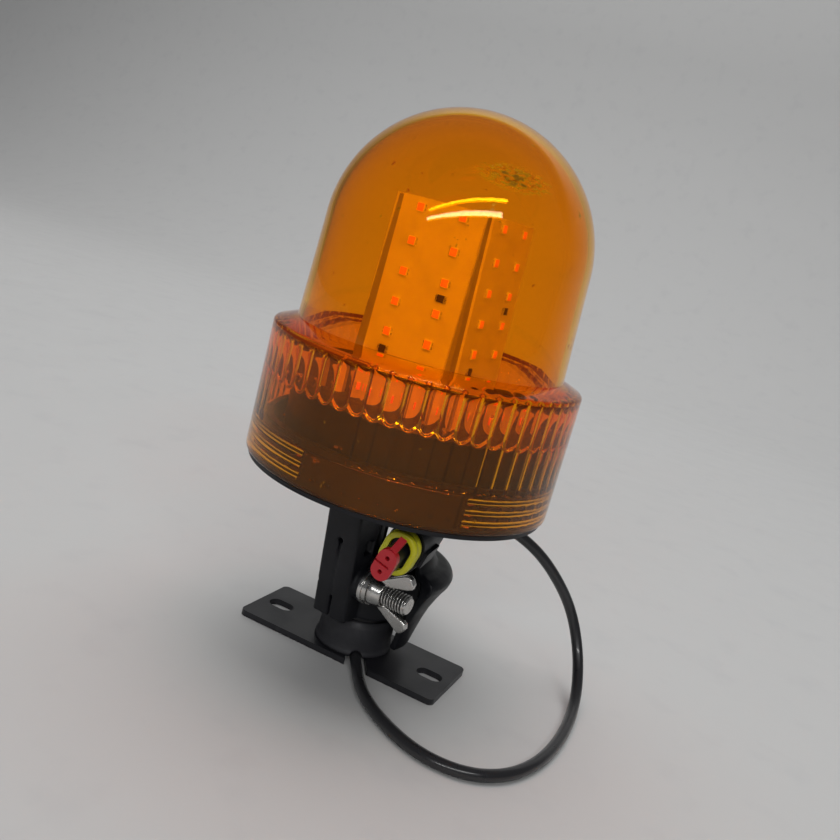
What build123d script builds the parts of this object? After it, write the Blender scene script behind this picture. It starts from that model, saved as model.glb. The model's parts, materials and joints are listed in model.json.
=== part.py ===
from build123d import *
import math
import os

# Amber LED warning beacon on a split clamp, a spigot and a two-slot plate.
# Millimetres. +Z is up, and the origin is the centre of the plate's underside.
# X runs along the plate, and the plate's front edge, with the cable notch, faces -Y.

# --- Mounting plate, spigot and boot --------------------------------------------------
PLATE_LENGTH = 89.0
PLATE_WIDTH = 35.0
PLATE_THICK = 2.5
PLATE_CORNER_R = 2.5
SLOT_SPACING = 71.0
SLOT_LENGTH = 11.0
SLOT_WIDTH = 7.0
CENTRE_HOLE_R = 8.0
NOTCH_TURN = -58.0
NOTCH_WIDTH = 8.4
SPIGOT_R = 12.5
SPIGOT_BORE_R = 10.0
SPIGOT_TOP = 43.0
WELD_LEG = 1.8
BOOT_LIP_R = 16.0
BOOT_TOP = 16.5
MOUTH_R = 2.55

# --- Head: everything that turns on the spigot ----------------------------------------
HEAD_TURN = -7.0
BASE_Z = 73.5
BASE_R = 58.6
BASE_RIM_THICK = 1.5
FLOOR_TOP = 77.0
FLOOR_R = 55.0
COLLAR_TOP = 91.0
COLLAR_WALL = 2.5
LUG_COUNT = 3
LUG_PITCH = 4.0
LUG_ROWS = 3
BASE_LUG_Z = 80.6
BASE_LUG_R = 57.0
BASE_LUG_HEIGHT = 1.2
BASE_LUG_START = -30.5
BASE_LUG_ANGLE = 50.0

LENS_Z = 75.8
LENS_R = 60.0
LENS_WALL = 2.5
SKIRT_TOP = 124.6
SHOULDER_TOP = 127.7
SHOULDER_R = 51.8
DOME_R = 50.2
APEX_Z = 215.0
LENS_LUG_Z = 78.3
LENS_LUG_HEIGHT = 1.7
LENS_LUG_R = 55.8
LENS_LUG_START = -36.5
LENS_LUG_ANGLE = 62.0

DRUM_R = 48.0
DRUM_WALL = 2.0
DRUM_TOP = 104.0
DRUM_POST_R = 3.2
DRUM_POST_AT = 40.0

# --- Clamp under the base -------------------------------------------------------------
SOCKET_BOTTOM = 19.5
RING_TOP = 43.0
RING_R = 17.0
CLAMP_CLEAR = 0.06
EAR_HALF = 7.5
EAR_FRONT_LOW = 24.6
EAR_FRONT_HIGH = 32.5
EAR_BACK = 15.5
SLIT_WIDTH = 1.0
SLIT_TOP = 52.0
SLIT_END_R = 1.1
FLANGE_R = 27.0
FLANGE_THICK = 4.0
FLANGE_SCREW_AT = 22.0
GUARD_START = -13.0
GUARD_SWEEP = 108.0
GUARD_FOOT_Z = 9.0

# --- M8 clamp bolt, washers and wing nut ----------------------------------------------
BOLT_R = 4.0
BOLT_Y = -19.2
BOLT_Z = 36.0
BOLT_HEAD_AT = -2.2
BOLT_LENGTH = 32.0
BOLT_HEAD_THICK = 5.3
BOLT_HEAD_FLATS = 13.0
BOSS_R = 6.3
BOSS_HEIGHT = 2.8
WASHER_R = 7.0
WASHER_THICK = 1.6
SPRING_WASHER_R = 6.4
SPRING_WASHER_THICK = 1.9
NUT_HUB_R = 5.9
NUT_HUB_LENGTH = 5.4
WING_REACH = 12.2
WING_HEIGHT = 16.6
WING_THICK = 2.6
WING_TURN = 8.0

# --- LED tower and driver -------------------------------------------------------------
COLUMN_HALF_TOP = 18.6
COLUMN_TOP = 179.0
COLUMN_TAPER = 1.9
COLUMN_WALL = 1.8
DRIVER_Z = 83.0
DRIVER_THICK = 1.6
DRIVER_R = 34.5
BOARD_WIDTH = 34.6
BOARD_THICK = 1.0
BOARD_BOTTOM = 95.0
LED_SIZE = 2.9
LED_THICK = 0.8
LED_COLUMN_HALF = 8.8
LED_SHIFT = 1.2
LED_FIRST_Z = 176.0
LED_FIRST_PITCH = 12.0
LED_PITCH = 11.1
LED_ROWS = 7
CHIP_SIZE = (3.2, 0.6, 1.6)

# --- Cable and connector --------------------------------------------------------------
CABLE_R = 2.25
CABLE_Z = 2.3
CABLE_TOP = 79.0
CABLE_BEND_R = 12.0
CABLE_SPLIT_Z = 28.0
CABLE_ROUTE = [
    (8.532, -13.654, CABLE_Z), (14.9, -23.845, CABLE_Z), (24.5, -36.0, CABLE_Z), (38.5, -46.0, CABLE_Z),
    (55.0, -52.5, CABLE_Z), (71.0, -50.8, CABLE_Z), (82.5, -41.0, CABLE_Z), (88.8, -26.0, CABLE_Z),
    (91.2, -9.0, CABLE_Z), (91.2, 8.0, CABLE_Z), (90.0, 22.5, 3.0), (87.3, 35.4, 7.8),
    (81.8, 44.0, 19.0), (74.2, 45.5, 33.0), (66.0, 38.2, 46.0), (56.0, 31.0, 56.8),
    (44.0, 24.6, 63.4), (33.8, 17.8, 66.3), (26.6, 8.0, 66.9), (24.3, -0.2, 66.4), (24.3, -8.481, 65.384),
]
PLUG_AT = (24.3, -39.3, 61.6)
PLUG_PITCH_DEG = 7.0
PLUG_LEAN_DEG = 17.0
PIN_PITCH = 6.0
NOSE_DROP = 1.0
NOSE_END = -9.5
LOCK_THICK = 2.4

HEAD = Rot(0, 0, HEAD_TURN)
PLUG = Pos(*PLUG_AT) * Rot(PLUG_PITCH_DEG, PLUG_LEAN_DEG, 0)
BOLT_AXIS = HEAD * Pos(0, BOLT_Y, BOLT_Z) * Rot(0, 90, 0)
UP = (Align.CENTER, Align.CENTER, Align.MIN)


def save(name, *solids):
    """Writes one node; several solids stay separate in it."""
    node = solids[0] if len(solids) == 1 else Compound(children=list(solids))
    export_step(node, f"parts/{name}.step")


def rod(radius, low, high):
    """An upright cylinder between two heights."""
    return Pos(0, 0, low) * Cylinder(radius, high - low, align=UP)


def ring(outer, inner, low, high):
    """An upright tube between two heights."""
    return rod(outer, low, high) - rod(inner, low - 1, high + 1)


def turned(points, start=0.0, sweep=360.0):
    """A solid of revolution about Z from (radius, z) points."""
    profile = make_face(Polyline([(r, 0, z) for r, z in points], close=True))
    return Rot(0, 0, start) * revolve(profile, axis=Axis.Z, revolution_arc=sweep)


def stadium(height, width, low, high):
    """A prism along Y, with a long round-ended section standing up in Z."""
    section = Rot(90, 0, 0) * SlotOverall(height, width, rotation=90)
    return Pos(0, high, 0) * extrude(section, amount=high - low)


def cable_mouth():
    """The round way that the cable takes from the axis out along the notch."""
    return Rot(0, 0, NOTCH_TURN) * Pos(0, 0, CABLE_Z) * Rot(0, 90, 0) * Cylinder(MOUTH_R, 20, align=UP)


# --- Parts that stay with the plate ---------------------------------------------------
def mounting_plate():
    outline = RectangleRounded(PLATE_LENGTH, PLATE_WIDTH, PLATE_CORNER_R)
    for side in (-1, 1):
        outline -= Pos(side * SLOT_SPACING / 2, 0) * SlotOverall(SLOT_LENGTH, SLOT_WIDTH)
    outline -= Circle(CENTRE_HOLE_R)
    plate = extrude(outline, amount=PLATE_THICK)
    notch = Box(PLATE_LENGTH / 2, NOTCH_WIDTH, 3 * PLATE_THICK, align=(Align.MIN, Align.CENTER, Align.CENTER))
    return plate - Rot(0, 0, NOTCH_TURN) * notch


def spigot_tube():
    tube = ring(SPIGOT_R, SPIGOT_BORE_R, PLATE_THICK, SPIGOT_TOP)
    return tube - cable_mouth()


def weld_bead():
    foot = PLATE_THICK
    bead = turned([(SPIGOT_R, foot), (SPIGOT_R + WELD_LEG, foot), (SPIGOT_R, foot + WELD_LEG)])
    return bead - cable_mouth()


def boot():
    foot = PLATE_THICK
    grip = SPIGOT_R + 0.02
    outer = [
        (BOOT_LIP_R, foot), (BOOT_LIP_R, foot + 1.3), (BOOT_LIP_R - 0.6, foot + 2.0),
        (BOOT_LIP_R - 0.9, foot + 4.0), (BOOT_LIP_R - 1.0, foot + 8.0), (BOOT_LIP_R - 1.4, foot + 11.5),
        (BOOT_LIP_R - 2.2, BOOT_TOP - 0.7), (grip + 0.6, BOOT_TOP),
    ]
    inner = [(grip, BOOT_TOP), (grip, foot + 2.8), (BOOT_LIP_R - 1.4, foot + 1.6), (BOOT_LIP_R - 1.4, foot)]
    return turned(outer + inner) - cable_mouth()


def inner_cable():
    start = CABLE_ROUTE[0]
    path = FilletPolyline([(0, 0, CABLE_TOP), (0, 0, CABLE_Z), start], radius=CABLE_BEND_R)
    return tube_along(path)


# --- The free cable -------------------------------------------------------------------
def corner_radii(points):
    """The largest tangent arc each corner has room for."""
    radii = []
    for before, here, after in zip(points, points[1:], points[2:]):
        run_in = Vector(*here) - Vector(*before)
        run_out = Vector(*after) - Vector(*here)
        turn = math.radians(run_in.get_angle(run_out))
        radii.append(0.45 * min(run_in.length, run_out.length) / math.tan(turn / 2))
    return radii


def tube_along(path):
    """A round tube of the cable's size along a path of runs and tangent arcs."""
    section = Plane(origin=path @ 0, z_dir=path % 0) * Circle(CABLE_R)
    tube = sweep(section, path=path)
    ratio = tube.volume / (math.pi * CABLE_R**2 * path.length)
    print(f"tube length {path.length:.1f} mm, volume over section times length {ratio:.4f}")
    return tube


def free_cable():
    """The cable from the boot to the plug, cut level where the riser leaves the floor loop."""
    radii = corner_radii(CABLE_ROUTE)
    print("cable radii in diameters:", [round(r / CABLE_R / 2, 1) for r in radii])
    tube = tube_along(FilletPolyline(CABLE_ROUTE, radius=radii))
    below = Pos(60, 0, -50) * Box(160, 200, 50 + CABLE_SPLIT_Z, align=UP)
    return tube & below, tube - below


# --- Base and lens --------------------------------------------------------------------
def lug_rows(outer, inner, first_z, height, start, angle):
    """Bayonet lugs: short arcs in rows one above another."""
    rows = []
    for row in range(LUG_ROWS):
        low = first_z + row * LUG_PITCH
        section = [(inner, low), (outer, low), (outer, low + height), (inner, low + height)]
        for lug in range(LUG_COUNT):
            rows.append(turned(section, start + lug * 360 / LUG_COUNT, angle))
    return rows


def around(count, radius, start=0.0):
    """Places on a circle in the head's frame."""
    return [Rot(0, 0, start + i * 360 / count) * Pos(radius, 0, 0) for i in range(count)]


BOARD_SCREWS = around(3, 30.0, 30)
DRUM_SCREWS = around(4, DRUM_POST_AT, 45)
FLANGE_SCREWS = around(4, FLANGE_SCREW_AT, 45)


def base_housing():
    base = rod(BASE_R, BASE_Z, BASE_Z + BASE_RIM_THICK) + rod(FLOOR_R, BASE_Z, FLOOR_TOP)
    base += ring(FLOOR_R, FLOOR_R - COLLAR_WALL, FLOOR_TOP - 0.5, COLLAR_TOP)
    for lug in lug_rows(BASE_LUG_R, FLOOR_R - 1, BASE_LUG_Z, BASE_LUG_HEIGHT, BASE_LUG_START, BASE_LUG_ANGLE):
        base += lug
    for place in BOARD_SCREWS:
        base += place * rod(3.0, FLOOR_TOP - 0.5, DRIVER_Z)
        base -= place * rod(1.3, FLOOR_TOP + 1, DRIVER_Z + 1)
    for place in DRUM_SCREWS:
        base += place * rod(DRUM_POST_R, FLOOR_TOP - 0.5, DRUM_TOP - DRUM_WALL)
        base -= place * rod(1.3, DRUM_TOP - 14, DRUM_TOP)
    for place in FLANGE_SCREWS:
        base -= place * rod(2.1, BASE_Z - 1, FLOOR_TOP + 1)
    return base - rod(5.0, BASE_Z - 1, FLOOR_TOP + 1)


def base_gasket():
    return ring(BASE_R - 0.4, FLOOR_R + 0.1, BASE_Z + BASE_RIM_THICK, LENS_Z - 0.02)


def dome_profile(inset):
    """Points down one side of the lens, from the apex, at a given depth under its skin."""
    centre = APEX_Z - DOME_R
    radius = DOME_R - inset
    points = []
    for step in range(1, 19):
        angle = math.radians(step * 5)
        points.append((radius * math.sin(angle), centre + radius * math.cos(angle)))
    points.append((SHOULDER_R - inset, SHOULDER_TOP - inset * 0.3))
    points.append((LENS_R - 1.2 - inset, SKIRT_TOP + 0.6 - inset))
    points.append((LENS_R - inset, SKIRT_TOP - 0.8 - inset))
    points.append((LENS_R - inset, LENS_Z))
    return points


def lens():
    outer = [(0, APEX_Z)] + dome_profile(0)
    inner = [(0, APEX_Z - LENS_WALL)] + dome_profile(LENS_WALL)
    shell = turned(outer + inner[::-1])
    for lug in lug_rows(LENS_R - 1, LENS_LUG_R, LENS_LUG_Z, LENS_LUG_HEIGHT, LENS_LUG_START, LENS_LUG_ANGLE):
        shell += lug
    return shell


def drum_cover():
    opening = 2 * (column_half(DRUM_TOP) + 1.6)
    cover = rod(DRUM_R, FLOOR_TOP + 0.05, DRUM_TOP)
    cover -= rod(DRUM_R - DRUM_WALL, FLOOR_TOP - 1, DRUM_TOP - DRUM_WALL)
    cover -= Pos(0, 0, DRUM_TOP - 5) * Box(opening, opening, 10, align=UP)
    for place in DRUM_SCREWS:
        cover -= place * rod(1.7, DRUM_TOP - 5, DRUM_TOP + 1)
    return cover


def pan_screw(head_r, head_z, shank_r, tip_z):
    return rod(head_r, head_z, head_z + head_r * 0.75) + rod(shank_r, tip_z, head_z + 0.1)


def cable_grommet():
    low = BASE_Z - 1.2
    body = turned([
        (CABLE_R + 0.03, low), (7.0, low), (7.0, BASE_Z - 0.02), (4.98, BASE_Z - 0.02),
        (4.98, FLOOR_TOP + 0.02), (6.4, FLOOR_TOP + 0.02), (6.4, FLOOR_TOP + 1.2),
        (CABLE_R + 0.03, FLOOR_TOP + 1.2),
    ])
    return body


# --- Clamp ----------------------------------------------------------------------------
def clamp_socket():
    top = BASE_Z - 0.05
    socket = rod(RING_R, SOCKET_BOTTOM, RING_TOP)
    front = [
        (0, -8.0, SOCKET_BOTTOM), (0, -EAR_FRONT_LOW, SOCKET_BOTTOM), (0, -EAR_FRONT_HIGH, top),
        (0, -EAR_BACK, top), (0, -EAR_BACK, RING_TOP), (0, -8.0, RING_TOP),
    ]
    ears = extrude(make_face(Polyline(front, close=True)), amount=EAR_HALF, dir=(1, 0, 0), both=True)
    long_front = ears.edges().filter_by(lambda e: e.center().Y < -EAR_FRONT_LOW + 0.5 and e.length > 30)
    socket += fillet(long_front, 1.0)
    socket += rod(FLANGE_R, top - FLANGE_THICK, top)
    socket -= rod(SPIGOT_R + CLAMP_CLEAR, SOCKET_BOTTOM - 1, RING_TOP + 1)
    socket -= rod(8.0, RING_TOP, BASE_Z + 1)
    slit = Box(SLIT_WIDTH, 40, SLIT_TOP - SOCKET_BOTTOM + 1, align=(Align.CENTER, Align.MAX, Align.MIN))
    socket -= Pos(0, 0, SOCKET_BOTTOM - 1) * slit
    socket -= Pos(0, -25, SLIT_TOP) * Rot(90, 0, 0) * Cylinder(SLIT_END_R, 24)
    hole = Pos(0, BOLT_Y, BOLT_Z) * Rot(0, 90, 0)
    socket -= hole * Pos(0, 0, EAR_HALF + BOSS_HEIGHT) * Cylinder(WASHER_R + 0.4, 12, align=UP)
    socket += hole * Pos(0, 0, EAR_HALF - 1) * Cylinder(BOSS_R, BOSS_HEIGHT + 1, align=UP)
    socket -= hole * Cylinder(BOLT_R + 0.25, 40)
    pocket = extrude(RegularPolygon(BOLT_HEAD_FLATS / 2 + 0.15, 6, major_radius=False), amount=20)
    socket -= hole * Pos(0, 0, BOLT_HEAD_AT - 20) * pocket
    socket -= Pos(EAR_HALF, -19.5, 50.0) * Box(4.0, 5.0, 5.5)
    for place in FLANGE_SCREWS:
        socket -= place * rod(1.65, top - FLANGE_THICK - 1, top + 1)
    return HEAD * socket


def cable_guard():
    """A curved wall beside the clamp, with a shoulder and a flared rim, ribbed to the clamp's ring."""
    top = BASE_Z - FLANGE_THICK - 0.1
    outer = [
        (16.0, top), (16.0, 58.0), (16.6, 54.5), (18.4, 52.0), (21.2, 49.0), (23.6, 46.2), (25.0, 43.6),
        (29.2, 43.0), (31.4, 41.8), (32.4, 40.0), (31.9, 37.8), (30.4, 35.2), (28.6, 31.6),
        (26.6, 26.8), (25.1, 22.0), (24.0, 17.6), (23.0, 13.0), (22.1, GUARD_FOOT_Z),
    ]
    inner = [
        (19.2, GUARD_FOOT_Z), (20.2, 13.4), (21.1, 18.0), (22.3, 22.8), (23.8, 27.8), (25.5, 32.4),
        (26.6, 36.0), (26.2, 39.6), (22.8, 41.2), (21.6, 43.6), (20.2, 45.8), (17.6, 48.4),
        (14.8, 51.2), (13.4, 54.2), (13.0, 58.0), (13.0, top),
    ]
    guard = turned(outer + inner, GUARD_START, GUARD_SWEEP)
    rib_angles = (GUARD_START + 12, GUARD_START + GUARD_SWEEP / 2, GUARD_START + GUARD_SWEEP - 10)
    for angle in rib_angles:
        rib = Pos(20.0, 0, 22) * Box(8.0, 2.4, 18, align=UP)
        guard += Rot(0, 0, angle) * rib
    return HEAD * (guard - rod(RING_R + 0.02, 0, RING_TOP + 1))


def clamp_bolt():
    head = extrude(RegularPolygon(BOLT_HEAD_FLATS / 2, 6, major_radius=False), amount=BOLT_HEAD_THICK)
    shank = chamfer(Cylinder(BOLT_R, BOLT_LENGTH, align=UP).edges().group_by(Axis.Z)[-1], 0.8)
    bolt = Pos(0, 0, -BOLT_HEAD_THICK) * head + shank
    return BOLT_AXIS * Pos(0, 0, BOLT_HEAD_AT) * bolt


FLAT_WASHER_AT = EAR_HALF + BOSS_HEIGHT + 0.05
SPRING_WASHER_AT = FLAT_WASHER_AT + WASHER_THICK + 0.02
NUT_AT = SPRING_WASHER_AT + SPRING_WASHER_THICK + 0.05


def flat_washer():
    return BOLT_AXIS * ring(WASHER_R, BOLT_R + 0.2, FLAT_WASHER_AT, FLAT_WASHER_AT + WASHER_THICK)


def spring_washer():
    high = SPRING_WASHER_AT + SPRING_WASHER_THICK
    washer = ring(SPRING_WASHER_R, BOLT_R + 0.15, SPRING_WASHER_AT, high)
    gap = Pos(SPRING_WASHER_R, 0, SPRING_WASHER_AT) * Rot(12, 0, 0) * Box(6, 0.8, 12)
    return BOLT_AXIS * (washer - gap)


def wing_nut():
    top = NUT_HUB_LENGTH
    hub = turned([(0, 0), (NUT_HUB_R, 0), (NUT_HUB_R, 1.2), (NUT_HUB_R - 0.9, top), (0, top)])
    outline = [
        (4.0, 0.8), (5.6, 2.4), (8.6, 7.4), (WING_REACH - 0.6, 12.2), (WING_REACH, 14.0),
        (WING_REACH - 0.8, 15.4), (9.4, WING_HEIGHT), (7.4, WING_HEIGHT - 0.4), (6.4, 14.6), (4.0, 6.6),
    ]
    wing = extrude(make_face(Polyline([(x, 0, z) for x, z in outline], close=True)), WING_THICK / 2, both=True)
    wing = fillet(wing.edges().filter_by(lambda e: abs(e.center().Y) > WING_THICK * 0.4), 0.5)
    nut = hub + wing + Rot(0, 0, 180) * wing - rod(BOLT_R + 0.06, -1, 20)
    return BOLT_AXIS * Pos(0, 0, NUT_AT) * Rot(0, 0, WING_TURN) * nut


# --- Driver and LED tower -------------------------------------------------------------
def column_half(height):
    """Half the column's width at a height; it widens towards the bottom."""
    return COLUMN_HALF_TOP + (COLUMN_TOP - height) * math.tan(math.radians(COLUMN_TAPER))


def led_column():
    low = DRIVER_Z + DRIVER_THICK + 0.02
    tall = COLUMN_TOP - low
    outer = loft([Pos(0, 0, low) * Rectangle(2 * column_half(low), 2 * column_half(low)),
                  Pos(0, 0, COLUMN_TOP) * Rectangle(2 * COLUMN_HALF_TOP, 2 * COLUMN_HALF_TOP)])
    bottom = 2 * (column_half(low) - COLUMN_WALL)
    top = 2 * (COLUMN_HALF_TOP - COLUMN_WALL)
    inner = loft([Pos(0, 0, low) * Rectangle(bottom, bottom), Pos(0, 0, low + tall - 2) * Rectangle(top, top)])
    return outer - inner


def on_face(face, out, height):
    """A place on the tower's face number 0 to 3, a distance out from the column's skin."""
    half = column_half(height)
    return Rot(0, 0, 90 * face) * Pos(0, -half, height) * Rot(-COLUMN_TAPER, 0, 0) * Pos(0, -out, 0)


def led_board(face):
    tall = COLUMN_TOP + 0.5 - BOARD_BOTTOM
    middle = BOARD_BOTTOM + tall / 2
    board = Pos(LED_SHIFT, 0, 0) * Box(BOARD_WIDTH, BOARD_THICK, tall)
    return on_face(face, BOARD_THICK / 2 + 0.02, middle) * board


def led_heights():
    lower = [LED_FIRST_Z - LED_FIRST_PITCH - LED_PITCH * row for row in range(LED_ROWS - 1)]
    return [LED_FIRST_Z] + lower


def face_parts(face, spots, size):
    """Small boxes soldered to a board's face at (x, z) spots."""
    out = BOARD_THICK + 0.04 + size[1] / 2
    return [on_face(face, out, z) * Pos(x, 0, 0) * Box(*size) for x, z in spots]


def board_leds(face):
    columns = (LED_SHIFT - LED_COLUMN_HALF, LED_SHIFT + LED_COLUMN_HALF)
    spots = [(x, z) for z in led_heights() for x in columns]
    return face_parts(face, spots, (LED_SIZE, LED_THICK, LED_SIZE))


def board_resistors(face):
    rows = led_heights()
    spots = [
        (LED_SHIFT + LED_COLUMN_HALF, (rows[2] + rows[3]) / 2),
        (LED_SHIFT - LED_COLUMN_HALF, (rows[4] + rows[5]) / 2),
    ]
    return face_parts(face, spots, CHIP_SIZE)


def driver_board():
    board = rod(DRIVER_R, DRIVER_Z + 0.02, DRIVER_Z + DRIVER_THICK)
    for place in BOARD_SCREWS:
        board -= place * rod(1.6, DRIVER_Z - 1, DRIVER_Z + 3)
    return board


def on_driver(shape, x, y):
    return HEAD * Pos(x, y, DRIVER_Z + DRIVER_THICK + 0.02) * shape


# --- Connector, in its own frame: nose towards -Y, long section upright ----------------
NOSE = Pos(0, 0, -NOSE_DROP)


def on_pins(y, shape):
    """A shape with its axis along Y, repeated for the two pins."""
    return [NOSE * Pos(0, y, side * PIN_PITCH / 2) * Rot(90, 0, 0) * shape for side in (-1, 1)]


def connector_housing():
    body = stadium(19.0, 14.2, 2.0, 19.0) + stadium(12.9, 8.4, -1.0, 2.5)
    body += NOSE * stadium(10.6, 6.6, NOSE_END, 2.5)
    body += Pos(7.4, 8.5, 0) * Box(1.8, 10.0, 6.5)
    for cavity in on_pins(6.0, Cylinder(1.15, 40)) + on_pins(16.0, Cylinder(2.4, 6.4)):
        body -= cavity
    return PLUG * body


def connector_seal():
    return PLUG * (stadium(17.2, 13.0, -3.4, 1.95) - stadium(13.0, 8.5, -5, 4))


def connector_lock():
    """The red cap on the nose, with its two pin holes, a slot and a tongue that rises at its top end."""
    back = NOSE_END - 0.1
    front = back - LOCK_THICK
    cap = NOSE * (stadium(12.6, 7.2, front, back) + Pos(0.2, -8.6, 7.35) * Rot(38, 0, 0) * Box(2.6, 6.4, 1.5))
    for hole in on_pins(front, Cylinder(0.85, 10)):
        cap -= hole
    return PLUG * (cap - NOSE * Pos(-2.0, front, 0) * Box(8.0, 1.8, 0.9))


def connector_terminals():
    return [PLUG * pin for pin in on_pins(-0.5, Cylinder(1.05, 17) - Cylinder(0.75, 18))]


def wire_seals():
    return [PLUG * seal for seal in on_pins(15.9, Cylinder(2.35, 6.0))]


def connector_boot():
    wide = Pos(0, 19.05, 0) * Rot(90, 0, 0) * SlotOverall(14.0, 8.6, rotation=90)
    narrow = Pos(0, 31.0, 0) * Rot(90, 0, 0) * SlotOverall(6.6, 6.2, rotation=90)
    return PLUG * loft([wide, narrow])


# --- Write every node -----------------------------------------------------------------
os.makedirs("parts", exist_ok=True)

save("mounting_plate", mounting_plate())
save("spigot_tube", spigot_tube())
save("weld_bead", weld_bead())
save("boot", boot())
save("inner_cable", inner_cable())
cable_floor, cable_riser = free_cable()
save("cable_floor", cable_floor)
save("cable_riser", cable_riser)

save("base_housing", HEAD * base_housing())
save("base_gasket", base_gasket())
save("lens", HEAD * lens())
save("drum_cover", HEAD * drum_cover())
save("cable_grommet", cable_grommet())
save("clamp_socket", clamp_socket())
save("cable_guard", cable_guard())
clamp_screw = pan_screw(3.6, FLOOR_TOP + 0.02, 1.6, BASE_Z - FLANGE_THICK)
board_screw = pan_screw(2.6, DRIVER_Z + DRIVER_THICK + 0.02, 1.2, FLOOR_TOP + 1.5)
drum_screw = pan_screw(2.8, DRUM_TOP + 0.02, 1.2, DRUM_TOP - 12)
save("clamp_screws", *[HEAD * place * clamp_screw for place in FLANGE_SCREWS])
save("board_screws", *[HEAD * place * board_screw for place in BOARD_SCREWS])
save("drum_screws", *[HEAD * place * drum_screw for place in DRUM_SCREWS])

save("clamp_bolt", clamp_bolt())
save("flat_washer", flat_washer())
save("spring_washer", spring_washer())
save("wing_nut", wing_nut())

save("driver_board", HEAD * driver_board())
save("inductor", on_driver(Cylinder(5.2, 7.0, align=UP), -28.4, 0))
save("capacitors", *[on_driver(Cylinder(3.6, 10.0, align=UP), 27.8, y) for y in (-4.4, 4.4)])
save("driver_chips", on_driver(Box(5, 4, 1.5, align=UP), 0, 28), on_driver(Box(5, 4, 1.5, align=UP), -12, -28))
save("led_column", HEAD * led_column())
FACES = ("front", "right", "back", "left")
for number, side_name in enumerate(FACES):
    save(f"led_board_{side_name}", HEAD * led_board(number))
    save(f"leds_{side_name}", *[HEAD * led for led in board_leds(number)])
save("board_resistors", *[HEAD * chip for number in range(4) for chip in board_resistors(number)])
wire = rod(0.8, CABLE_TOP + 0.05, DRIVER_Z)
save("supply_wires", HEAD * Pos(-1.1, 0, 0) * wire, HEAD * Pos(1.1, 0, 0) * wire)
tower_wire = rod(0.7, DRIVER_Z + DRIVER_THICK + 0.03, COLUMN_TOP - 4)
save("tower_wires", *[HEAD * Pos(x, y, 0) * tower_wire for x, y in ((-3, 0), (3, 0), (0, 3))])

save("connector_housing", connector_housing())
save("connector_seal", connector_seal())
save("connector_lock", connector_lock())
save("connector_terminals", *connector_terminals())
save("wire_seals", *wire_seals())
save("connector_boot", connector_boot())
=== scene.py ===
import json
import math

import bmesh
import bpy
from mathutils import Matrix, Vector

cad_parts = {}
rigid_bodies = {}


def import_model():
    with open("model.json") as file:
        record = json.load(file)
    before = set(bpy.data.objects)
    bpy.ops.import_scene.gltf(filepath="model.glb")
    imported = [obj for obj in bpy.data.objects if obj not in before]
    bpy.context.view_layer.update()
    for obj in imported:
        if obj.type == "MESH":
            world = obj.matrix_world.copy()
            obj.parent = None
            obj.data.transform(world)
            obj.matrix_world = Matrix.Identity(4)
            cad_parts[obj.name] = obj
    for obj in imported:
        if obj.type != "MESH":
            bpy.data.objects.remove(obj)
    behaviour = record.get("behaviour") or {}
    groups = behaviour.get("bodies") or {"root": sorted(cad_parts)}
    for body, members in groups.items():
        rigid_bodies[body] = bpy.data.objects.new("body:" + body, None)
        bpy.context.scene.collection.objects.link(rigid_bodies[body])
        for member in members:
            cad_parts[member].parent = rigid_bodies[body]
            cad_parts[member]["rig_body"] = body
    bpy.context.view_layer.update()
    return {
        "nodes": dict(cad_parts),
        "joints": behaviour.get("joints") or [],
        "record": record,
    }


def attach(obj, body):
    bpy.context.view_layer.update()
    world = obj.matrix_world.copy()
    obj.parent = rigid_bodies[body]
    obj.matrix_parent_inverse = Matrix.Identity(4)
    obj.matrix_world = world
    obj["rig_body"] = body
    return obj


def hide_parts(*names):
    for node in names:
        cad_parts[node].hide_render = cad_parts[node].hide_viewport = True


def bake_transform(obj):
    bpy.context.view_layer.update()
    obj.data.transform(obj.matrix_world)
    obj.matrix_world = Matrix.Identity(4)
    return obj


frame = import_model()
NODES = frame["nodes"]
JOINTS = {joint["name"]: joint for joint in frame["joints"]}
MM = 0.001
TURN = 2 * math.pi

# --- Where things are, in millimetres in the row frame --------------------------------
HEAD = Matrix.Rotation(math.radians(-7.0), 4, "Z")
RIM_Z = 75.8
LENS_R = 60.0
LENS_WALL = 2.4
SKIRT_TOP = 124.6
SHOULDER_TOP = 127.7
SHOULDER_R = 51.8
DOME_R = 50.2
APEX_Z = 215.0
FLUTES = 60
LUG_INNER_R = 55.8
LUG_ROWS = (79.15, 83.15, 87.15)
LUG_HALF_HEIGHT = 1.15
LUG_COUNT = 3
LUG_START = -43.5
LUG_ANGLE = 62.0
LEDGE_Z = 88.9
UPPER_FLUTES_Z = 105.8
UPPER_FLUTES_TOP = 122.6
WINDOW = (-130.0, -86.0)
FULL_RIBS = (-45.0, 75.0)
NECK_STEPS = 6
POINTS_A_FLUTE = 12
TOOTH_Z = 80.2
TOOTH_COUNT = 60

BOLT_R = 4.0
BOLT_PITCH = 1.25
BOLT_END = 29.8
THREAD_ROOT_R = 3.62
THREAD_DEPTH = 0.72
THREAD_STEP = 0.105
BOLT_HEAD_AT = -2.2
BOLT_HEAD_THICK = 5.3
BOLT_HEAD_FLATS = 13.0
WASHER_R = 7.0
WASHER_BORE_R = 4.2
WASHER_EDGE = 0.28
WASHER_ENDS = (10.36, 11.94)

PLUG_PITCH = Matrix.Rotation(math.radians(7), 4, "X")
PLUG_LEAN = Matrix.Rotation(math.radians(17), 4, "Y")
PLUG = Matrix.Translation((24.3, -39.3, 61.6)) @ PLUG_PITCH @ PLUG_LEAN

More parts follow.
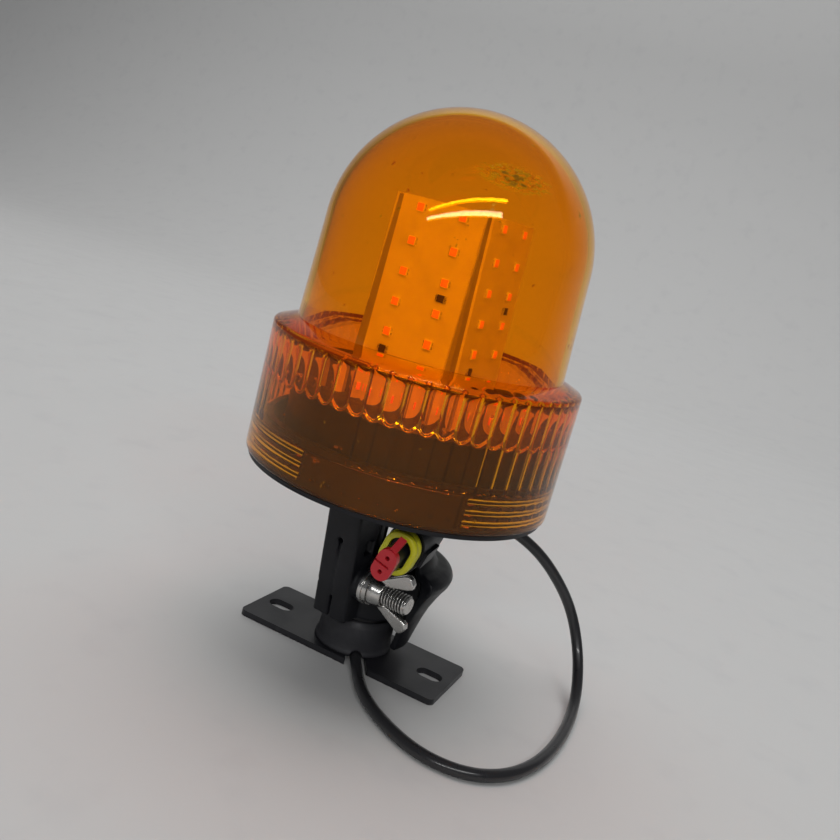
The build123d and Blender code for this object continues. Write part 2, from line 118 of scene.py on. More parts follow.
CABLE_DIAMETER = 4.5
CABLE_ROUTE = [
    (8.532, -13.654, 2.3), (14.9, -23.845, 2.3), (24.5, -36.0, 2.3), (38.5, -46.0, 2.3),
    (55.0, -52.5, 2.3), (71.0, -50.8, 2.3), (82.5, -41.0, 2.3), (88.8, -26.0, 2.3),
    (91.2, -9.0, 2.3), (91.2, 8.0, 2.3), (90.0, 22.5, 3.0), (87.3, 35.4, 7.8),
    (81.8, 44.0, 19.0), (74.2, 45.5, 33.0), (66.0, 38.2, 46.0), (56.0, 31.0, 56.8),
    (44.0, 24.6, 63.4), (33.8, 17.8, 66.3), (26.6, 8.0, 66.9), (24.3, -0.2, 66.4), (24.3, -8.481, 65.384),
]


# --- Materials ------------------------------------------------------------------------
class Shader:
    """A Principled material whose colour, roughness and relief come from noise in object space."""

    def __init__(self, name, color, roughness, metallic=0.0, **sockets):
        self.material = bpy.data.materials.new(name)
        self.material.use_nodes = True
        self.tree = self.material.node_tree
        self.shader = self.tree.nodes["Principled BSDF"]
        self.coordinates = self.add("ShaderNodeTexCoord").outputs["Object"]
        self.normal = None
        self.set("Base Color", (*color, 1.0))
        self.set("Roughness", roughness)
        self.set("Metallic", metallic)
        for socket, value in sockets.items():
            self.set(socket.replace("_", " "), value)

    def set(self, socket, value):
        self.shader.inputs[socket].default_value = value

    def add(self, kind, **values):
        node = self.tree.nodes.new(kind)
        for name, value in values.items():
            setattr(node, name, value)
        return node

    def link(self, source, target):
        self.tree.links.new(source, target)

    def noise(self, size_mm, detail=3.0, stretch=(1, 1, 1)):
        """Noise whose blotches are about size_mm across."""
        mapping = self.add("ShaderNodeMapping")
        mapping.inputs["Scale"].default_value = stretch
        self.link(self.coordinates, mapping.inputs["Vector"])
        node = self.add("ShaderNodeTexNoise")
        node.inputs["Scale"].default_value = 1 / (size_mm * MM)
        node.inputs["Detail"].default_value = detail
        self.link(mapping.outputs["Vector"], node.inputs["Vector"])
        return node.outputs["Fac"]

    def ramp(self, value, low, high, to_low=0.0, to_high=1.0):
        node = self.add("ShaderNodeMapRange")
        for socket, number in zip(("From Min", "From Max", "To Min", "To Max"), (low, high, to_low, to_high)):
            node.inputs[socket].default_value = number
        self.link(value, node.inputs["Value"])
        return node.outputs["Result"]

    def blend_by_height(self, position, heights_mm, low_color, high_color):
        """A colour that changes from one to another between two heights."""
        mix = self.add("ShaderNodeMix", data_type="RGBA")
        mix.inputs["A"].default_value = (*low_color, 1.0)
        mix.inputs["B"].default_value = (*high_color, 1.0)
        low, high = heights_mm
        self.link(self.ramp(position.outputs["Z"], low * MM, high * MM), mix.inputs["Factor"])
        return mix.outputs["Result"]

    def vary_roughness(self, size_mm, low, high, stretch=(1, 1, 1)):
        value = self.ramp(self.noise(size_mm, 4.0, stretch), 0.3, 0.7, low, high)
        self.link(value, self.shader.inputs["Roughness"])
        return self

    def vary_color(self, size_mm, color, edge=(0.45, 0.75), stretch=(1, 1, 1)):
        mix = self.add("ShaderNodeMix", data_type="RGBA")
        mix.inputs["A"].default_value = self.shader.inputs["Base Color"].default_value
        mix.inputs["B"].default_value = (*color, 1.0)
        self.link(self.ramp(self.noise(size_mm, 5.0, stretch), *edge), mix.inputs["Factor"])
        self.link(mix.outputs["Result"], self.shader.inputs["Base Color"])
        return self

    def relief(self, size_mm, depth_mm, detail=2.0, stretch=(1, 1, 1)):
        bump = self.add("ShaderNodeBump")
        bump.inputs["Distance"].default_value = depth_mm * MM
        self.link(self.noise(size_mm, detail, stretch), bump.inputs["Height"])
        if self.normal is not None:
            self.link(self.normal, bump.inputs["Normal"])
        self.normal = bump.outputs["Normal"]
        self.link(self.normal, self.shader.inputs["Normal"])
        return self


SCUFF_AT = (26.5, -32.5, 192.0)
SCUFF_FLATTEN = 3.2
DOME_AMBER = (1.0, 0.54, 0.0002)
SKIRT_AMBER = (1.0, 0.36, 0.0002)
# Painted glow: a faint amber emission that brightens the lens, which is not a lamp.
DOME_PAINTED_GLOW = (0.022, 0.0035, 0.0)
SKIRT_PAINTED_GLOW = (0.003, 0.0006, 0.0)
DIRT = (0.09, 0.035, 0.002)
SHADOW_TINT = (0.97, 0.6, 0.03)


def lens_material():
    """Clear amber plastic, deeper in the skirt, with specks of dust, a rubbed, dirty patch by the top, and a
    painted glow that is strongest above the upper flutes.
    """
    s = Shader("amber_polycarbonate", DOME_AMBER, 0.02, IOR=1.5, Transmission_Weight=1.0,
               Specular_IOR_Level=0.25, Specular_Tint=(1.0, 0.75, 0.4, 1.0), Emission_Strength=1.0)
    height = s.add("ShaderNodeSeparateXYZ")
    s.link(s.coordinates, height.inputs[0])
    amber = s.blend_by_height(height, (SKIRT_TOP, SHOULDER_TOP + 1.0), SKIRT_AMBER, DOME_AMBER)
    # Painted glow: full emission from the upper flutes up, and a weaker one in the skirt below.
    painted_glow = s.blend_by_height(height, (UPPER_FLUTES_Z, UPPER_FLUTES_Z + 6.0), SKIRT_PAINTED_GLOW, DOME_PAINTED_GLOW)
    s.link(painted_glow, s.shader.inputs["Emission Color"])
    squeeze = Vector((1, 1, SCUFF_FLATTEN))
    flat = s.add("ShaderNodeVectorMath", operation="MULTIPLY")
    s.link(s.coordinates, flat.inputs[0])
    flat.inputs[1].default_value = squeeze
    patch = s.add("ShaderNodeVectorMath", operation="DISTANCE")
    s.link(flat.outputs["Vector"], patch.inputs[0])
    patch.inputs[1].default_value = Vector(SCUFF_AT) * squeeze * MM
    near = s.ramp(patch.outputs["Value"], 6 * MM, 15 * MM, 1.0, 0.0)
    grains = s.ramp(s.noise(2.4, 8.0, (1, 1, 2.5)), 0.47, 0.6, 0.0, 0.9)
    scuff = s.add("ShaderNodeMath", operation="MULTIPLY")
    s.link(near, scuff.inputs[0])
    s.link(grains, scuff.inputs[1])
    marks = s.add("ShaderNodeMath", operation="MULTIPLY_ADD", use_clamp=True)
    s.link(s.ramp(s.noise(7.0, 8.0), 0.7, 0.74), marks.inputs[0])
    marks.inputs[1].default_value = 0.5
    s.link(scuff.outputs["Value"], marks.inputs[2])
    dirt = marks.outputs["Value"]
    mix = s.add("ShaderNodeMix", data_type="RGBA")
    s.link(amber, mix.inputs["A"])
    mix.inputs["B"].default_value = (*DIRT, 1.0)
    s.link(dirt, mix.inputs["Factor"])
    s.link(mix.outputs["Result"], s.shader.inputs["Base Color"])
    s.link(s.ramp(dirt, 0, 1, 0.025, 0.5), s.shader.inputs["Roughness"])
    s.link(s.ramp(dirt, 0, 1, 1.0, 0.15), s.shader.inputs["Transmission Weight"])
    clear = s.add("ShaderNodeBsdfTransparent")
    clear.inputs["Color"].default_value = (*SHADOW_TINT, 1.0)
    path = s.add("ShaderNodeLightPath")
    through = s.add("ShaderNodeMixShader")
    s.link(path.outputs["Is Shadow Ray"], through.inputs["Fac"])
    s.link(s.shader.outputs["BSDF"], through.inputs[1])
    s.link(clear.outputs["BSDF"], through.inputs[2])
    s.link(through.outputs["Shader"], s.tree.nodes["Material Output"].inputs["Surface"])
    return s.material


M = {
    "lens": lens_material(),
    "moulding": Shader("black_nylon", (0.006, 0.0065, 0.009), 0.42, Specular_IOR_Level=0.3)
        .vary_roughness(6, 0.36, 0.5).vary_color(9, (0.01, 0.011, 0.014)).relief(0.9, 0.008).material,
    "powder": Shader("black_powder_coat", (0.013, 0.013, 0.016), 0.36).vary_roughness(14, 0.28, 0.44)
        .relief(0.5, 0.03).vary_color(3, (0.024, 0.024, 0.028), (0.6, 0.85)).material,
    "rubber": Shader("black_rubber", (0.022, 0.022, 0.026), 0.6).vary_roughness(4, 0.5, 0.72)
        .relief(0.6, 0.03).material,
    "jacket": Shader("cable_jacket", (0.016, 0.016, 0.018), 0.34, Coat_Weight=0.3)
        .vary_roughness(5, 0.26, 0.4).relief(1.2, 0.03).material,
    "zinc": Shader("bright_zinc", (0.62, 0.61, 0.59), 0.22, 1.0).vary_roughness(3.0, 0.2, 0.3)
        .relief(1.5, 0.004).vary_color(4.0, (0.48, 0.47, 0.45), (0.5, 0.85)).material,
    # Painted shade: a dark grey metal for the thread's roots, so the thread shows dark and bright stripes.
    "thread_root_painted_shade": Shader("thread_root_painted_shade", (0.09, 0.088, 0.085), 0.5, 0.8).vary_roughness(0.8, 0.4, 0.6)
        .relief(0.4, 0.01).material,
    "mask": Shader("white_solder_mask", (0.83, 0.83, 0.78), 0.4, Coat_Weight=0.3).vary_roughness(8, 0.32, 0.5)
        .relief(2.0, 0.02).vary_color(12, (0.74, 0.74, 0.66)).material,
    "housing": Shader("led_housing", (0.86, 0.83, 0.74), 0.4)
        .relief(0.5, 0.01).vary_roughness(1, 0.35, 0.5).material,
    # Painted glow: a faint orange emission on the LEDs' phosphor stands in for light from parts that are not
    # lamps.
    "phosphor": Shader("led_phosphor_painted_glow", (1.0, 0.2, 0.03), 0.3, Coat_Weight=0.6, Emission_Strength=0.45,
                       Emission_Color=(1.0, 0.22, 0.03, 1.0)).vary_roughness(0.6, 0.2, 0.4)
        .vary_color(0.7, (1.0, 0.3, 0.05)).material,
    "epoxy": Shader("moulded_epoxy", (0.02, 0.02, 0.02), 0.45)
        .vary_roughness(0.8, 0.4, 0.6).relief(0.2, 0.01).material,
    "solder": Shader("solder", (0.7, 0.7, 0.7), 0.28, 1.0)
        .vary_roughness(0.5, 0.2, 0.4).relief(0.5, 0.03).material,
    # A darker grey than bare aluminium, so the column reads dark in the gaps between the boards.
    "column": Shader("darkened_aluminium", (0.38, 0.37, 0.35), 0.5, 0.35)
        .vary_roughness(1.5, 0.42, 0.6, (1, 1, 0.05)).relief(0.6, 0.006, 2.0, (1, 1, 0.04)).material,
    "circuit": Shader("green_solder_mask", (0.012, 0.11, 0.045), 0.35, Coat_Weight=0.4)
        .vary_roughness(5, 0.28, 0.42).vary_color(3, (0.02, 0.17, 0.07)).material,
    "sleeve": Shader("capacitor_sleeve", (0.03, 0.04, 0.1), 0.35)
        .vary_roughness(2, 0.3, 0.45).relief(1, 0.02).material,
    "silicone": Shader("yellow_green_silicone", (0.6, 0.57, 0.012), 0.32, Subsurface_Weight=0.25,
                       Subsurface_Radius=(0.003, 0.003, 0.001))
        .vary_roughness(2, 0.26, 0.42).relief(0.8, 0.02).material,
    "red": Shader("red_nylon", (0.5, 0.012, 0.022), 0.36)
        .vary_roughness(2, 0.28, 0.46).relief(0.4, 0.015).material,
    "brass": Shader("tinned_brass", (0.7, 0.62, 0.42), 0.3, 1.0).vary_roughness(0.8, 0.22, 0.4).material,
}
SLOT_MATERIAL = {
    "black_powder_coat": "powder", "black_moulding": "moulding", "black_rubber": "rubber",
    "cable_jacket": "jacket", "amber_lens": "lens", "white_solder_mask": "mask",
    "led_package": "phosphor", "green_circuit_board": "circuit", "component_black": "epoxy",
    "capacitor_sleeve": "sleeve", "dull_aluminium": "column", "bright_zinc": "zinc",
    "tinned_contact": "brass", "yellow_green_silicone": "silicone", "red_lock": "red",
}
NODE_SLOT = {part["node"]: part["material_slot"] for part in frame["record"]["subparts"]}


# --- Mesh helpers ---------------------------------------------------------------------
def shade(mesh, angle=35.0):
    """Smooth shading with hard edges where faces meet at more than angle degrees."""
    mesh.polygons.foreach_set("use_smooth", [True] * len(mesh.polygons))
    mesh.set_sharp_from_angle(angle=math.radians(angle))


def finish_piece(obj, body, stands_for=(), slot=None):
    bpy.context.scene.collection.objects.link(obj)
    if body:
        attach(obj, body)
    if stands_for:
        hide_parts(*stands_for)
        slot = slot or NODE_SLOT[stands_for[0]]
    return obj


def build(name, parts, materials, body, stands_for=(), place=Matrix.Identity(4), angle=35.0):
    """One piece from (points, faces, material number) parts given in millimetres."""
    points, faces, numbers = [], [], []
    for part_points, part_faces, number in parts:
        first = len(points)
        points += [(place @ Vector(p)) * MM for p in part_points]
        faces += [[first + i for i in face] for face in part_faces]
        numbers += [number] * len(part_faces)
    mesh = bpy.data.meshes.new(name)
    mesh.from_pydata(points, [], faces)
    mesh.polygons.foreach_set("material_index", numbers)
    for key in materials:
        mesh.materials.append(M[key])
    rebuilt = bmesh.new()
    rebuilt.from_mesh(mesh)
    bmesh.ops.recalc_face_normals(rebuilt, faces=rebuilt.faces)
    rebuilt.to_mesh(mesh)
    rebuilt.free()
    shade(mesh, angle)
    return finish_piece(bpy.data.objects.new(name, mesh), body, stands_for)


def lathe(rows, columns, closed=True):
    """Points and faces about Z. A row gives (radius, height) at an angle, and radius 0 is a pole."""
    points, index = [], []
    for row in rows:
        first = len(points)
        if row(0.0)[0] == 0:
            points.append((0.0, 0.0, row(0.0)[1]))
            index.append([first] * columns)
            continue
        for column in range(columns):
            angle = TURN * column / columns
            radius, height = row(angle)
            points.append((radius * math.cos(angle), radius * math.sin(angle), height))
        index.append(list(range(first, first + columns)))
    faces = []
    for low, high in zip(index, index[1:] + (index[:1] if closed else [])):
        for column in range(columns):
            after = (column + 1) % columns
            face = list(dict.fromkeys((low[column], low[after], high[after], high[column])))
            if len(face) > 2:
                faces.append(face)
    return points, faces


def fixed(points):
    """Lathe rows that are the same at every angle."""
    return [lambda angle, point=point: point for point in points]


def rounded_ring(outer, inner, low, high, edge, steps=4):
    """A washer's section with rounded corners, as (radius, height) points."""
    section = []
    corners = ((outer - edge, high - edge, 0), (inner + edge, high - edge, 90),
               (inner + edge, low + edge, 180), (outer - edge, low + edge, 270))
    for radius, height, start in corners:
        for step in range(steps + 1):
            angle = math.radians(start + 90 * step / steps)
            section.append((radius + edge * math.cos(angle), height + edge * math.sin(angle)))
    return section


def block(size, centre=(0, 0, 0), bevel=0.0):
    """Points and faces of a box whose edges are chamfered by bevel."""
    work = bmesh.new()
    bmesh.ops.create_cube(work, size=1.0)
    bmesh.ops.scale(work, vec=size, verts=work.verts)
    if bevel:
        bmesh.ops.bevel(work, geom=list(work.edges), offset=bevel, segments=2, profile=0.6, affect="EDGES")
    bmesh.ops.translate(work, vec=centre, verts=work.verts)
    work.verts.index_update()
    result = ([tuple(v.co) for v in work.verts], [[v.index for v in f.verts] for f in work.faces])
    work.free()
    return result


def islands(node):
    """The centre of each separate solid of a node, in millimetres, from the top down."""
    work = bmesh.new()
    work.from_mesh(NODES[node].data)
    bmesh.ops.remove_doubles(work, verts=work.verts, dist=1e-6)
    left, centres = set(work.verts), []
    while left:
        group, stack = [], [left.pop()]
        while stack:
            vertex = stack.pop()
            group.append(vertex.co.copy())
            for edge in vertex.link_edges:
                other = edge.other_vert(vertex)
                if other in left:
                    left.remove(other)
                    stack.append(other)
        centres.append(sum(group, Vector()) / len(group) / MM)
    work.free()
    return sorted(centres, key=lambda c: (-round(c.z, 1), round(c.x, 1), round(c.y, 1)))


def moulded(node, voxel_mm, smoothing=6, name=None, angle=60.0):
    """A copy of a CAD node's shape with the softened edges of a moulding or a casting."""
    source = NODES[node]
    obj = bpy.data.objects.new(name or node + "_moulded", source.data.copy())
    bpy.context.scene.collection.objects.link(obj)
    weld = obj.modifiers.new("weld", "WELD")
    weld.merge_threshold = 1e-6
    remesh = obj.modifiers.new("remesh", "REMESH")
    remesh.mode = "VOXEL"
    remesh.voxel_size = voxel_mm * MM
    smooth = obj.modifiers.new("smooth", "SMOOTH")
    smooth.factor = 0.5
    smooth.iterations = smoothing
    bpy.context.view_layer.update()
    mesh = bpy.data.meshes.new_from_object(obj.evaluated_get(bpy.context.evaluated_depsgraph_get()))
    bpy.data.objects.remove(obj)
    mesh.materials.clear()
    mesh.materials.append(M[SLOT_MATERIAL[NODE_SLOT[node]]])
    shade(mesh, angle)
    body = NODES[node]["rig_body"]
    return finish_piece(bpy.data.objects.new(name or node + "_moulded", mesh), body, (node,))


# --- Lens -----------------------------------------------------------------------------
def within(angle, start, end, soft=0.0):
    """1 inside an arc given in degrees, 0 outside it, with soft ends of that many degrees."""
    middle, half = (start + end) / 2, (end - start) / 2
    away = abs((math.degrees(angle) - middle + 180) % 360 - 180)
    return min(1.0, max(0.0, (half - away) / soft + 0.5)) if soft else float(away <= half)


def flute(angle):
    """How far through its own width an angle is, from -1 at one valley to 1 at the next."""
    return 2 * ((angle * FLUTES / TURN) % 1.0) - 1


def ease(value):
    value = min(1.0, max(0.0, value))
    return value * value * (3 - 2 * value)


def lug_depth(angle, height):
    """How far the bayonet lugs stand in from the wall, with their rounded ends."""
    depth = LENS_R - LENS_WALL - LUG_INNER_R
    for lug in range(LUG_COUNT):
        start = LUG_START + lug * 360 / LUG_COUNT
        away = abs((math.degrees(angle) - start - LUG_ANGLE / 2 + 180) % 360 - 180)
        past = max(0.0, (away - LUG_ANGLE / 2) + 1.2) * math.radians(LENS_R)
        for row in LUG_ROWS:
            gap = math.hypot(past, height - row)
            if gap < LUG_HALF_HEIGHT:
                return depth * math.sqrt(1 - (gap / LUG_HALF_HEIGHT) ** 2)
    return 0.0


def tooth_depth(angle, height):
    """Small wedges inside the foot of the skirt, between the lugs, that catch the light."""
    across = 2 * ((angle * TOOTH_COUNT / TURN + 0.5) % 1.0) - 1
    return 0.45 * max(0.0, 1 - abs(across) / 0.45 - abs(height - TOOTH_Z) / 0.9)


def inner_radius(angle, height):
    """The lens's inner wall in the skirt: lugs at the foot, a ledge, and two bands of flutes."""
    rib = 1 - flute(angle) ** 2
    radius = LENS_R - LENS_WALL
    if height < LEDGE_Z:
        full = within(angle, *FULL_RIBS, 2.0) * 0.5 * rib if height > RIM_Z + 2 else 0.0
        return radius - max(lug_depth(angle, height), full, tooth_depth(angle, height))
    radius -= 0.4 + 0.7 * rib * (1 - within(angle, *WINDOW, 1.0)) * ease((height - LEDGE_Z - 0.8) / 0.5)
    foot = UPPER_FLUTES_Z + 2.6 * (1 - rib)
    top = ease((UPPER_FLUTES_TOP - height) / 1.2)
    return radius - 1.3 * (0.4 + 0.6 * rib) * ease((height - foot) / 0.9) * top


def span(low, high, step):
    count = max(1, round(abs(high - low) / step))
    return [low + (high - low) * i / count for i in range(count + 1)]


def beacon_lens():
    centre = APEX_Z - DOME_R
    outer = [(LENS_R - 0.5, RIM_Z), (LENS_R - 0.12, RIM_Z + 0.18), (LENS_R, RIM_Z + 0.6)]
    outer += [(LENS_R, z) for z in span(RIM_Z + 3, SKIRT_TOP - 1.0, 4)]
    outer += [(LENS_R - 0.15, SKIRT_TOP - 0.35), (LENS_R - 0.6, SKIRT_TOP + 0.15)]
    outer += [(LENS_R - 1.4, SKIRT_TOP + 0.55)]
    outer += [(SHOULDER_R, SHOULDER_TOP)]
    lean, rise = (DOME_R - SHOULDER_R) / NECK_STEPS, (centre - SHOULDER_TOP) / NECK_STEPS
    outer += [(SHOULDER_R + lean * t, SHOULDER_TOP + rise * t) for t in range(1, NECK_STEPS + 1)]
    dome = [math.radians(a) for a in span(87, 3, 3)]
    outer += [(DOME_R * math.sin(a), centre + DOME_R * math.cos(a)) for a in dome] + [(0, APEX_Z)]
    inside = DOME_R - LENS_WALL
    inner = [(0, centre + inside)]
    inner += [(inside * math.sin(a), centre + inside * math.cos(a)) for a in reversed(dome)]
    inner += [(inside - lean * t, centre - rise * t) for t in range(NECK_STEPS + 1)]
    inner += [(SHOULDER_R - LENS_WALL + 0.4, SHOULDER_TOP - 1.6), (SHOULDER_R + 2.0, SHOULDER_TOP - 3.0)]
    inner += [(LENS_R - LENS_WALL - 1.2, SKIRT_TOP - 1.6)]
    rows = fixed(outer + inner)
    heights = span(UPPER_FLUTES_TOP, UPPER_FLUTES_Z + 4.2, 1.4)
    heights += span(UPPER_FLUTES_Z + 4.0, UPPER_FLUTES_Z, 0.3)
    heights += span(UPPER_FLUTES_Z - 0.4, LEDGE_Z + 3, 3.0) + span(LEDGE_Z + 1.6, LEDGE_Z + 0.05, 0.4)
    heights += span(LEDGE_Z - 0.05, RIM_Z + 0.4, 0.28)
    rows += [lambda angle, z=z: (inner_radius(angle, z), z) for z in heights]
    rows += fixed([(LENS_R - LENS_WALL + 0.3, RIM_Z)])
    points, faces = lathe(rows, FLUTES * POINTS_A_FLUTE)
    return build("beacon_lens", [(points, faces, 0)], ["lens"], "lens", ("lens",), angle=50.0)


# --- LED tower ------------------------------------------------------------------------
BOARD_TILT = -1.9


def led(rim_mm=3.3):
    """One surface-mount LED facing -Y: a bevelled package with a domed square of phosphor, which carries a
    painted glow.
    """
    package = block((rim_mm, 0.7, rim_mm), (0, 0.05, 0), 0.12)
    painted_glow = block((rim_mm * 0.8, 0.3, rim_mm * 0.8), (0, -0.3, 0), 0.1)
    out = rim_mm / 2 + 0.15
    tabs = [block((0.5, 0.25, 0.9), (side * out, 0.28, z), 0.05) for side in (-1, 1) for z in (-0.7, 0.7)]
    return [(*package, 0), (*painted_glow, 1)] + [(*tab, 2) for tab in tabs]


def resistor():
    """One chip resistor facing -Y, with soldered end caps."""
    body = block((3.1, 0.6, 2.6), (0, 0, 0), 0.06)
    caps = [block((0.6, 0.66, 2.7), (side * 1.7, 0, 0), 0.08) for side in (-1, 1)]
    fillets = [block((0.45, 0.3, 2.6), (side * 2.1, 0.17, 0), 0.06) for side in (-1, 1)]
    return [(*body, 0)] + [(*cap, 1) for cap in caps + fillets]


def board_frame(centre, face):
    """A frame on the tower's face with -Y along the board's outward normal, tilted as the column tapers."""
    around = Matrix.Rotation(math.radians(90 * face), 4, "Z")
    return Matrix.Translation(centre) @ HEAD @ around @ Matrix.Rotation(math.radians(BOARD_TILT), 4, "X")


def moved(parts, matrix):
    return [([tuple(matrix @ Vector(p)) for p in points], faces, number) for points, faces, number in parts]


def face_of(centre):
    """Which of the tower's four faces a point is on."""
    local = HEAD.inverted() @ centre
    return round(math.degrees(math.atan2(local.y, local.x)) / 90 + 1) % 4


def tower_components():
    for face, side in enumerate(("front", "right", "back", "left")):
        parts = [p for centre in islands(f"leds_{side}") for p in moved(led(), board_frame(centre, face))]
        build(f"led_array_{side}", parts, ["housing", "phosphor", "solder"], "head", (f"leds_{side}",))
    parts = []
    for centre in islands("board_resistors"):
        parts += moved(resistor(), board_frame(centre, face_of(centre)))
    build("chip_resistors", parts, ["epoxy", "solder"], "head", ("board_resistors",))


# --- Clamp bolt, washers and nut ------------------------------------------------------
def bolt_frame():
    """Z along the clamp bolt, with its origin on the lens axis's plane."""
    along = Vector(JOINTS["nut_spin"]["axis"]).normalized()
    across = Vector((0, 0, -1))
    basis = Matrix((across, along.cross(across), along)).transposed().to_4x4()
    return Matrix.Translation(Vector(JOINTS["nut_spin"]["pos_m"]) / MM) @ basis


def thread_row(height):
    """A ring round a right-hand M8 thread; the tip is chamfered."""
    limit = min(BOLT_R - 0.02, 3.1 + (BOLT_END - height) * 1.2)

    def row(angle):
        phase = (height / BOLT_PITCH - angle / TURN) % 1.0
        crest = min(1.0, max(0.0, (abs(2 * phase - 1) - 0.12) / 0.74))
        return min(limit, BOLT_R - 0.02 - THREAD_DEPTH * (1 - crest)), height
    return row


def hex_row(share, height):
    """A ring round the bolt head; share 0 is the hexagon and 1 the chamfer's circle."""
    def row(angle):
        flat = BOLT_HEAD_FLATS / 2 / math.cos((angle + math.pi / 6) % (math.pi / 3) - math.pi / 6)
        return flat + share * min(0.0, BOLT_HEAD_FLATS * 0.475 - flat), height
    return row


def clamp_bolt():
    low = BOLT_HEAD_AT - BOLT_HEAD_THICK
    head = fixed([(0, low)]) + [hex_row(1, low), hex_row(0, low + 0.9), hex_row(0, BOLT_HEAD_AT - 0.1),
                                hex_row(1, BOLT_HEAD_AT)] + fixed([(0, BOLT_HEAD_AT)])
    start = BOLT_HEAD_AT - 0.5
    rings = [thread_row(z) for z in span(start, BOLT_END, THREAD_STEP)]
    shank = fixed([(0, start)]) + rings + fixed([(0, BOLT_END)])
    parts = [(*lathe(head, 72, False), 0), (*lathe(shank, 48, False), 0)]
    bolt = build("clamp_bolt_threaded", parts, ["zinc", "thread_root_painted_shade"], "head", ("clamp_bolt",), bolt_frame(),
                 28.0)
    to_bolt = bolt_frame().inverted()
    # Faces in the thread's roots take the painted shade material.
    for face in bolt.data.polygons:
        at = to_bolt @ (face.center / MM)
        if 0 < at.z < BOLT_END - 1.0 and math.hypot(at.x, at.y) < THREAD_ROOT_R:
            face.material_index = 1
    return bolt


def washers():
    """The flat washer, between the ear's boss and the spring washer."""
    ring = rounded_ring(WASHER_R, WASHER_BORE_R, *WASHER_ENDS, WASHER_EDGE)
    points, faces = lathe(fixed(ring), 96)
    build("flat_washer_pressed", [(points, faces, 0)], ["zinc"], "washers", ("flat_washer",), bolt_frame())


# --- Plug -----------------------------------------------------------------------------
def stadium_path(half_width, half_height, count):
    """Points and outward directions round an upright stadium in the XZ plane."""
    path = []
    straight = half_height - half_width
    for end in (1, -1):
        for step in range(count):
            angle = math.pi * step / (count - 1) + (0 if end == 1 else math.pi)
            direction = Vector((math.cos(angle), 0, math.sin(angle)))
            path.append((Vector((0, 0, end * straight)) + direction * half_width, direction))
    return path


def plug_seal():
    """A silicone ring with two round lips outside and a flat wall inside."""
    path = stadium_path(4.26, 6.51, 25)
    front, back, steps = -3.35, 1.9, 24
    section = [(0.0, front + 0.15), (0.0, back)]
    for step in range(steps + 1):
        along = back + (front - back) * step / steps
        lips = abs(math.sin(TURN * step / steps))
        section.append((1.55 + 0.65 * math.sqrt(lips), along))
    points = [tuple(base + out * u + Vector((0, v, 0))) for base, out in path for u, v in section]
    count, wide = len(path), len(section)
    faces = []
    for i in range(count):
        here, there = i * wide, (i + 1) % count * wide
        faces += [[here + j, here + (j + 1) % wide, there + (j + 1) % wide, there + j] for j in range(wide)]
    return build("plug_seal", [(points, faces, 0)], ["silicone"], "head", ("connector_seal",), PLUG, 60.0)


# --- Cable ----------------------------------------------------------------------------
def cable_line():
    """The cable's centreline: points read from a smooth spline through the route."""
    data = bpy.data.curves.new("cable_line", "CURVE")
    data.dimensions = "3D"
    spline = data.splines.new("NURBS")
    spline.points.add(len(CABLE_ROUTE) - 1)
    for target, point in zip(spline.points, CABLE_ROUTE):
        target.co = (*(x * MM for x in point), 1.0)
    spline.order_u = 3
    spline.use_endpoint_u = True
    spline.resolution_u = 14
    obj = bpy.data.objects.new("cable_line", data)
    bpy.context.scene.collection.objects.link(obj)
    bpy.context.view_layer.update()
    mesh = bpy.data.meshes.new_from_object(obj.evaluated_get(bpy.context.evaluated_depsgraph_get()))
    line = [v.co.copy() for v in mesh.vertices]
    bpy.data.objects.remove(obj)
    return line


def cable():
    line = cable_line()
    radius = CABLE_DIAMETER / 2 * MM
    sides = 24
    side = Vector((0, 0, 1))
    points, faces = [], []
    for i, centre in enumerate(line):
        along = (line[min(i + 1, len(line) - 1)] - line[max(i - 1, 0)]).normalized()
        side = (side - along * side.dot(along)).normalized()
        other = along.cross(side)
        for k in range(sides):
            angle = TURN * k / sides
            points.append((centre + (side * math.cos(angle) + other * math.sin(angle)) * radius) / MM)
    for i in range(len(line) - 1):
        for k in range(sides):
            after = (k + 1) % sides
            faces.append([i * sides + k, i * sides + after, (i + 1) * sides + after, (i + 1) * sides + k])
    last = (len(line) - 1) * sides
    faces += [list(range(sides))[::-1], [last + k for k in range(sides)]]
    obj = build("cable", [(points, faces, 0)], ["jacket"], None)
    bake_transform(obj)
    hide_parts("cable_floor", "cable_riser")
    return obj


# --- CAD nodes that stay --------------------------------------------------------------
def dress_nodes():
    for name, obj in NODES.items():
        for slot in obj.material_slots:
            slot.material = M[SLOT_MATERIAL[NODE_SLOT[name]]]
        shade(obj.data, 30.0)
    for name, width in (("mounting_plate", 0.3), ("connector_lock", 0.25), ("connector_housing", 0.35),
                        ("spring_washer", 0.25)):
        bevel = NODES[name].modifiers.new("edges", "BEVEL")
        bevel.width = width * MM
        bevel.segments = 3
        bevel.limit_method = "ANGLE"
        bevel.angle_limit = math.radians(40)
        bevel.harden_normals = True


# --- Room, lights and camera ----------------------------------------------------------
def room():
    """A pale floor that curves up into a wall behind the object."""
    profile = [(-1.6, 0.0), (1.0, 0.0)]
    bends = [math.radians(d) for d in range(10, 91, 10)]
    profile += [(1.0 + 0.6 * math.sin(a), 0.6 - 0.6 * math.cos(a)) for a in bends]
    profile += [(1.6, 2.6)]
    points = [(x, y, z) for y, z in profile for x in (-2.5, 2.5)]
    faces = [[2 * i, 2 * i + 1, 2 * i + 3, 2 * i + 2] for i in range(len(profile) - 1)]
    mesh = bpy.data.meshes.new("backdrop")
    mesh.from_pydata(points, [], faces)
    shade(mesh, 60.0)
    floor = Shader("backdrop_vinyl", (0.55, 0.55, 0.545), 0.6).vary_color(25, (0.52, 0.52, 0.52), (0.55, 0.8))
    mesh.materials.append(floor.vary_roughness(40, 0.5, 0.7).relief(3, 0.05).material)
    backdrop = bpy.data.objects.new("backdrop", mesh)
    bpy.context.scene.collection.objects.link(backdrop)


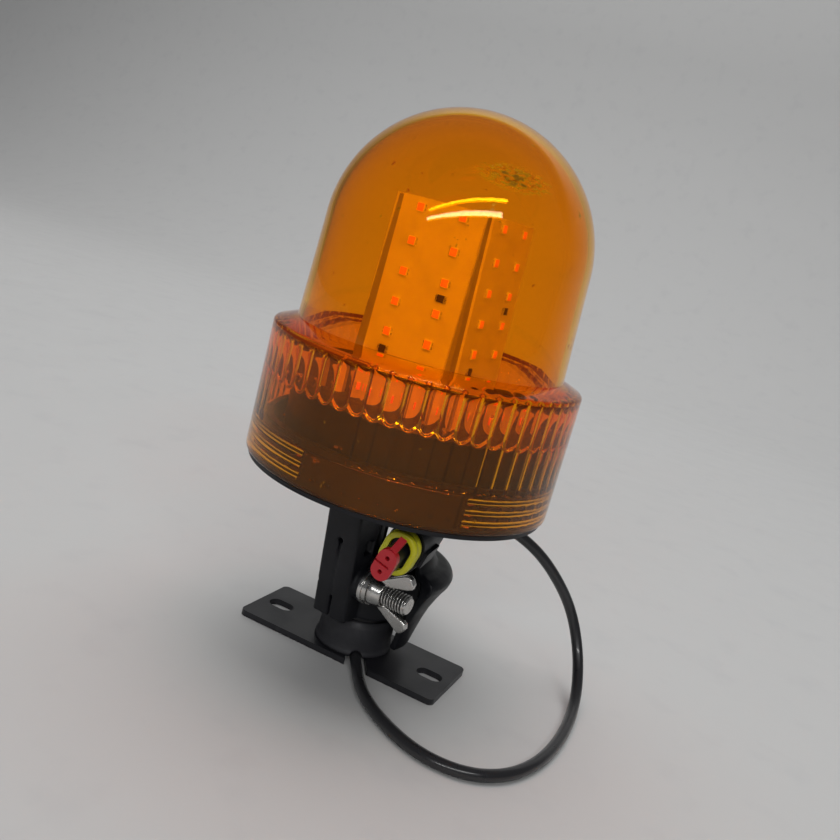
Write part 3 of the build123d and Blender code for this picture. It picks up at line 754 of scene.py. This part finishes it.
def area_light(name, at, towards, size, energy, along=(1, 0, 0), color=(1, 1, 1)):
    """A rectangular lamp that faces a point, with its long side along a direction."""
    data = bpy.data.lights.new(name, "AREA")
    data.shape = "RECTANGLE"
    data.size, data.size_y = size
    data.energy = energy
    data.color = color
    obj = bpy.data.objects.new(name, data)
    side = Vector(along).normalized()
    back = Vector(at) - Vector(towards)
    back = (back - side * side.dot(back)).normalized()
    turn = Matrix((side, back.cross(side), back)).transposed().to_4x4()
    obj.matrix_world = Matrix.Translation(at) @ turn
    bpy.context.scene.collection.objects.link(obj)
    return obj


def lights():
    """A softbox overhead, a tube lamp in front, and the tube's amber second image in the lens's wall."""
    world = bpy.data.worlds.new("studio")
    bpy.context.scene.world = world
    world.use_nodes = True
    background = world.node_tree.nodes["Background"]
    background.inputs["Color"].default_value = (0.93, 0.95, 1.0, 1.0)
    background.inputs["Strength"].default_value = 0.1
    softbox = area_light("softbox", (-0.3, 0.5, 2.0), (0, 0.2, 0.1), (2.4, 2.0), 37.0)
    softbox.visible_glossy = False
    softbox.visible_transmission = False
    dome, tube_line = (0, 0, 0.165), (1.52, 2.08, 0)
    area_light("tube", (0.29, -1.83, 1.065), dome, (2.58, 0.12), 16.0, tube_line)
    amber = (1.0, 0.8, 0.02)
    echo = area_light("amber_tube", (0.259, -1.635, 1.38), dome, (2.58, 0.06), 12.0, tube_line, amber)
    echo.visible_diffuse = False
    lens_only = bpy.data.collections.new("lens_only")
    lens_only.objects.link(bpy.data.objects["beacon_lens"])
    echo.light_linking.receiver_collection = lens_only


def camera():
    azimuth, elevation, roll = math.radians(21.12), math.radians(12.25), math.radians(15.18)
    data = bpy.data.cameras.new("camera")
    data.sensor_width = 36.0
    data.lens = 38.316
    data.clip_start = 0.01
    obj = bpy.data.objects.new("camera", data)
    turn = Matrix.Rotation(azimuth, 4, "Z") @ Matrix.Rotation(math.pi / 2 - elevation, 4, "X")
    turn = turn @ Matrix.Rotation(roll, 4, "Z")
    obj.matrix_world = Matrix.Translation((0.1250, -0.31505, 0.17202)) @ turn
    bpy.context.scene.collection.objects.link(obj)
    bpy.context.scene.camera = obj


dress_nodes()
beacon_lens()
tower_components()
clamp_bolt()
washers()
for casting, voxel in (("wing_nut", 0.22), ("clamp_socket", 0.5), ("cable_guard", 0.5), ("boot", 0.4)):
    moulded(casting, voxel)
plug_seal()
cable()
room()
lights()
camera()
bpy.context.scene.view_settings.view_transform = "Standard"
